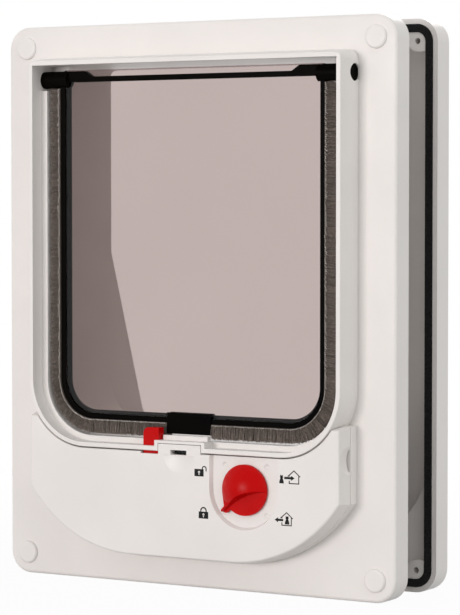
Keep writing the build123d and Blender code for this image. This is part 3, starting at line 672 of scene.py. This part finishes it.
# %% Simple shapes
CURVE_STEPS = 20


def rectangle(x0, z0, x1, z1):
    """Upright rectangle between two corners."""
    return [(x0, z0), (x1, z0), (x1, z1), (x0, z1)]


def arc(x, z, radius, start_deg, end_deg):
    """Points along an arc."""
    points = []
    for i in range(CURVE_STEPS + 1):
        angle = math.radians(start_deg + (end_deg - start_deg) * i / CURVE_STEPS)
        points.append((x + radius * math.cos(angle), z + radius * math.sin(angle)))
    return points


def circle(x, z, radius):
    """Full circle, without its first point again at the end."""
    return arc(x, z, radius, 0, 360)[:-1]


def stroke(start, end, width):
    """Straight line with a width and square ends."""
    a, b = Vector(start), Vector(end)
    along = (b - a).normalized() * width / 2
    across = Vector((-along.y, along.x))
    corners = (a - along - across, b + along - across, b + along + across, a - along + across)
    return [tuple(corner) for corner in corners]


print("points of a circle:", len(circle(0, 0, 1)))

# %% [markdown]
# ## Printed symbols: locks, cats, houses and arrows
#
# A lock is a box with a hoop. For the two directions a small cat sits at a house with an open side, and
# an arrow leads in or out. Both directions use the same cat, house and arrow in other places, so each
# of them is one function.

# %% Figures
CAT_RIGHT_SIDE = ((1.30, 0), (1.30, 0.9), (0.95, 1.9), (0.55, 2.7))
CAT_EAR = ((0.05, 3.7), (0.85, 3.4), (0.72, 4.5))
CAT_HEAD_HEIGHT = 3.2
CAT_HEAD_RADIUS = 0.88
WALL_REACH = 2.75
WALL_HEIGHT = 3.7
EAVE_REACH = 3.4
ROOF_HEIGHT = 6.5
HOUSE_LINE = 0.50
ARROW_HEAD_LENGTH = 2.0
ARROW_HEAD_REACH = 1.3
ARROW_SHAFT_REACH = 0.58


def padlock(x, bottom, width, height, hoop_x, hoop_rise, hoop_radius, hoop_line, free_drop=0.0):
    """Lock body with a hoop; an open hoop stands to the right, and its free leg ends lower."""
    top = bottom + height
    inner = hoop_radius - hoop_line
    free_foot = top - free_drop
    outside = [(hoop_x + hoop_radius, free_foot), *arc(hoop_x, top + hoop_rise, hoop_radius, 0, 180),
               (hoop_x - hoop_radius, top)]
    inside = [(hoop_x - inner, top), *arc(hoop_x, top + hoop_rise, inner, 180, 0),
              (hoop_x + inner, free_foot)]
    return [rectangle(x - width / 2, bottom, x + width / 2, top), outside + inside]


def sitting_cat(x, foot):
    """Small sitting figure: a body, a head and two ears."""
    right = [(x + reach, foot + rise) for reach, rise in CAT_RIGHT_SIDE]
    left = [(x - reach, foot + rise) for reach, rise in CAT_RIGHT_SIDE]
    right_ear = [(x + reach, foot + rise) for reach, rise in CAT_EAR]
    left_ear = [(x - reach, foot + rise) for reach, rise in CAT_EAR]
    head = circle(x, foot + CAT_HEAD_HEIGHT, CAT_HEAD_RADIUS)
    return [right + left[::-1], head, right_ear, left_ear[::-1]]


def house(x, floor, gap_low, gap_high):
    """Outline of a house whose left wall has a gap."""
    left, right = x - WALL_REACH, x + WALL_REACH
    eaves, apex = floor + WALL_HEIGHT, (x, floor + ROOF_HEIGHT)
    lines = (
        ((left, floor), (right, floor)),
        ((right, floor), (right, eaves)),
        ((left, floor), (left, gap_low)),
        ((left, gap_high), (left, eaves)),
        ((x - EAVE_REACH, eaves), apex),
        ((x + EAVE_REACH, eaves), apex),
    )
    return [stroke(start, end, HOUSE_LINE) for start, end in lines]


def arrow(tail, tip, z):
    """Level arrow with a solid head."""
    way = 1 if tip > tail else -1
    neck = tip - way * ARROW_HEAD_LENGTH
    head = [(tip, z), (neck, z + ARROW_HEAD_REACH), (neck, z - ARROW_HEAD_REACH)]
    shaft = rectangle(min(tail, neck), z - ARROW_SHAFT_REACH, max(tail, neck), z + ARROW_SHAFT_REACH)
    return [shaft, head[::way]]


print("a house is", 2 * EAVE_REACH, "mm wide and", ROOF_HEIGHT, "mm high")

# %% Symbols
SYMBOLS = {
    "open_lock": padlock(x=12.2, bottom=-87.8, width=5.6, height=3.8, hoop_x=15.35, hoop_rise=0.3,
                         hoop_radius=1.45, hoop_line=0.6, free_drop=1.0),
    "closed_lock": padlock(x=14.9, bottom=-109.6, width=5.8, height=3.6, hoop_x=14.9, hoop_rise=0.5,
                           hoop_radius=1.95, hoop_line=0.7),
    "cat_in": [
        *sitting_cat(x=61.6, foot=-88.7),
        *arrow(tail=63.2, tip=69.2, z=-85.8),
        *house(x=68.9, floor=-88.5, gap_low=-87.3, gap_high=-84.6),
    ],
    "cat_out": [
        *sitting_cat(x=64.9, foot=-109.5),
        *arrow(tail=62.6, tip=57.6, z=-107.4),
        *house(x=64.6, floor=-110.0, gap_low=-108.8, gap_high=-106.1),
    ],
}
for name, outlines in SYMBOLS.items():
    print(name, "has", len(outlines), "outlines")

# %% [markdown]
# ## Printed symbols: ink
#
# A print is a film of ink, so each outline gets a hair's thickness: a little proud of the cover, so
# that it shows, and a little sunk into it, so that it doesn't float. The ink leaves the two keyholes
# free on the real cover. Here they are thicker films in the cover's own white, because an outline
# with a hole in it would need more than one face.

# %% Ink
INK_TONES = ((0.006, 0.006, 0.006), (0.012, 0.012, 0.012))
INK_PROUD = 0.03 * MM
INK_SUNK = 0.02 * MM

cover_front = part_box("control_cover")[0].y


def add_print(mesh, outline, proud):
    """One closed outline as a film on the cover's front."""
    front, back = [], []
    for x, z in outline:
        front.append(mesh.verts.new((x * MM, cover_front - proud, z * MM)))
        back.append(mesh.verts.new((x * MM, cover_front + INK_SUNK, z * MM)))
    mesh.faces.new(front)
    mesh.faces.new(back[::-1])
    for i in range(len(front)):
        j = (i + 1) % len(front)
        mesh.faces.new((front[j], front[i], back[i], back[j]))


ink = moulded("black_ink", INK_TONES, rough=(0.45, 0.60), grain_scale=2400.0, grain_mm=0.004,
              specular=0.10)
for name, outlines in SYMBOLS.items():
    film = bmesh.new()
    for outline in outlines:
        add_print(film, outline, INK_PROUD)
    symbol = link_mesh(name, film, ink)
    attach(symbol, "frame")

# %% Keyholes
KEYHOLE_PLACES = ((12.2, -85.6), (14.9, -107.5))
KEYHOLE_RADIUS = 0.62
KEYHOLE_SLOT_REACH = 0.28
KEYHOLE_SLOT_LENGTH = 1.45
KEYHOLE_PROUD = 2 * INK_PROUD

film = bmesh.new()
for x, z in KEYHOLE_PLACES:
    slot = rectangle(x - KEYHOLE_SLOT_REACH, z - KEYHOLE_SLOT_LENGTH, x + KEYHOLE_SLOT_REACH, z)
    add_print(film, circle(x, z, KEYHOLE_RADIUS), KEYHOLE_PROUD)
    add_print(film, slot, KEYHOLE_PROUD)
keyholes = link_mesh("keyholes", film, white)
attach(keyholes, "frame")

# %% [markdown]
# ## Floor
#
# The flap stands on a pale floor that fades into white. A plain white floor would turn grey in the
# picture and would light the object strongly from below. So the floor shows one thing to the eye and
# another to the object: it glows almost white, a little less near the object, for rays that come
# straight to the camera, mirrored or through glass, and it is a dull grey for all the others. It sends
# back little light, so faces that look down stay darker.

# %% Seen rays
SEEN_KINDS = ("Is Camera Ray", "Is Glossy Ray", "Is Transmission Ray")
WHITE_GLOW = (1, 1, 1, 1)


def seen_rays(tree):
    """One for rays that show the surroundings, nought for the others."""
    rays = tree.nodes.new("ShaderNodeLightPath")
    seen = rays.outputs[SEEN_KINDS[0]]
    for kind in SEEN_KINDS[1:]:
        seen = combine(tree, "MAXIMUM", seen, rays.outputs[kind])
    return seen


print("seen rays:", ", ".join(SEEN_KINDS))

# %% Floor
FLOOR_TONES = ((0.55, 0.55, 0.55), (0.58, 0.58, 0.58))
FLOOR_SCALE = 3.0
FLOOR_RADIUS = 6.0
FLOOR_SEGMENTS = 96
FADE_DISTANCES = (0.15, 0.60)
FADE_LEVELS = (0.96, 1.0)

floor_finish, tree, shader, place = start_finish("pale_floor")
colour(tree, shader, noise(tree, place, FLOOR_SCALE), FLOOR_TONES)
dull(shader, roughness=0.8, specular=0.1)
distance = tree.nodes.new("ShaderNodeVectorMath")
distance.operation = "LENGTH"
tree.links.new(place, distance.inputs[0])
fade = remap(tree, distance.outputs["Value"], FADE_DISTANCES, FADE_LEVELS)
glow = tree.nodes.new("ShaderNodeEmission")
glow.inputs["Color"].default_value = WHITE_GLOW
mixed = tree.nodes.new("ShaderNodeMixShader")
tree.links.new(combine(tree, "MULTIPLY", seen_rays(tree), fade), mixed.inputs["Fac"])
tree.links.new(shader.outputs["BSDF"], mixed.inputs[1])
tree.links.new(glow.outputs["Emission"], mixed.inputs[2])
tree.links.new(mixed.outputs["Shader"], tree.nodes["Material Output"].inputs["Surface"])

disc = bmesh.new()
bmesh.ops.create_circle(disc, cap_ends=True, segments=FLOOR_SEGMENTS, radius=FLOOR_RADIUS)
floor = link_mesh("studio_floor", disc, floor_finish)
floor.location.z = cad_box[0][2]

# %% [markdown]
# ## Light
#
# The studio has an even glow from all around, a large soft lamp in front and to the left, weaker ones
# on the right and overhead, and one for the weather side at the back. The lamps in front and behind are
# a little warm, the others a little cool, which tells the faces of a white object apart. The front lamp
# keeps clear of the places where the flat panel would mirror it to the camera.
#
# The glow is dimmer for the object than for the eye, so the background stays white while the plastic
# keeps its own colour. The standard view transform leaves those colours as they are.

# %% Light
AMBIENT = 0.60
WARM_LIGHT = (1.0, 0.96, 0.95)
COOL_LIGHT = (0.94, 1.0, 0.98)
LAMPS = {
    "key_lamp": {"place": (-0.92, -3.48, 0.15), "size": 1.2, "power": 71.0, "colour": WARM_LIGHT},
    "side_lamp": {"place": (2.2, -0.6, 0.8), "size": 1.4, "power": 10.0, "colour": COOL_LIGHT},
    "top_lamp": {"place": (0.6, -0.3, 2.5), "size": 1.6, "power": 6.0, "colour": COOL_LIGHT},
    "back_lamp": {"place": (-0.9, 3.0, 1.6), "size": 1.2, "power": 30.0, "colour": WARM_LIGHT},
}

world = bpy.data.worlds.new("studio_world")
bpy.context.scene.world = world
world.use_nodes = True
tree = world.node_tree
background = tree.nodes["Background"]
background.inputs["Color"].default_value = WHITE_GLOW
level = remap(tree, seen_rays(tree), FULL_RANGE, (AMBIENT, 1.0))
tree.links.new(level, background.inputs["Strength"])

for name, lamp in LAMPS.items():
    light = bpy.data.lights.new(name, "AREA")
    light.size = lamp["size"]
    light.energy = lamp["power"]
    light.color = lamp["colour"]
    stand = bpy.data.objects.new(name, light)
    stand.location = Vector(lamp["place"])
    stand.rotation_euler = (-stand.location).to_track_quat("-Z", "Y").to_euler()
    bpy.context.scene.collection.objects.link(stand)
    print(name, "at", [round(v, 2) for v in stand.location])
bpy.context.scene.view_settings.view_transform = "Standard"
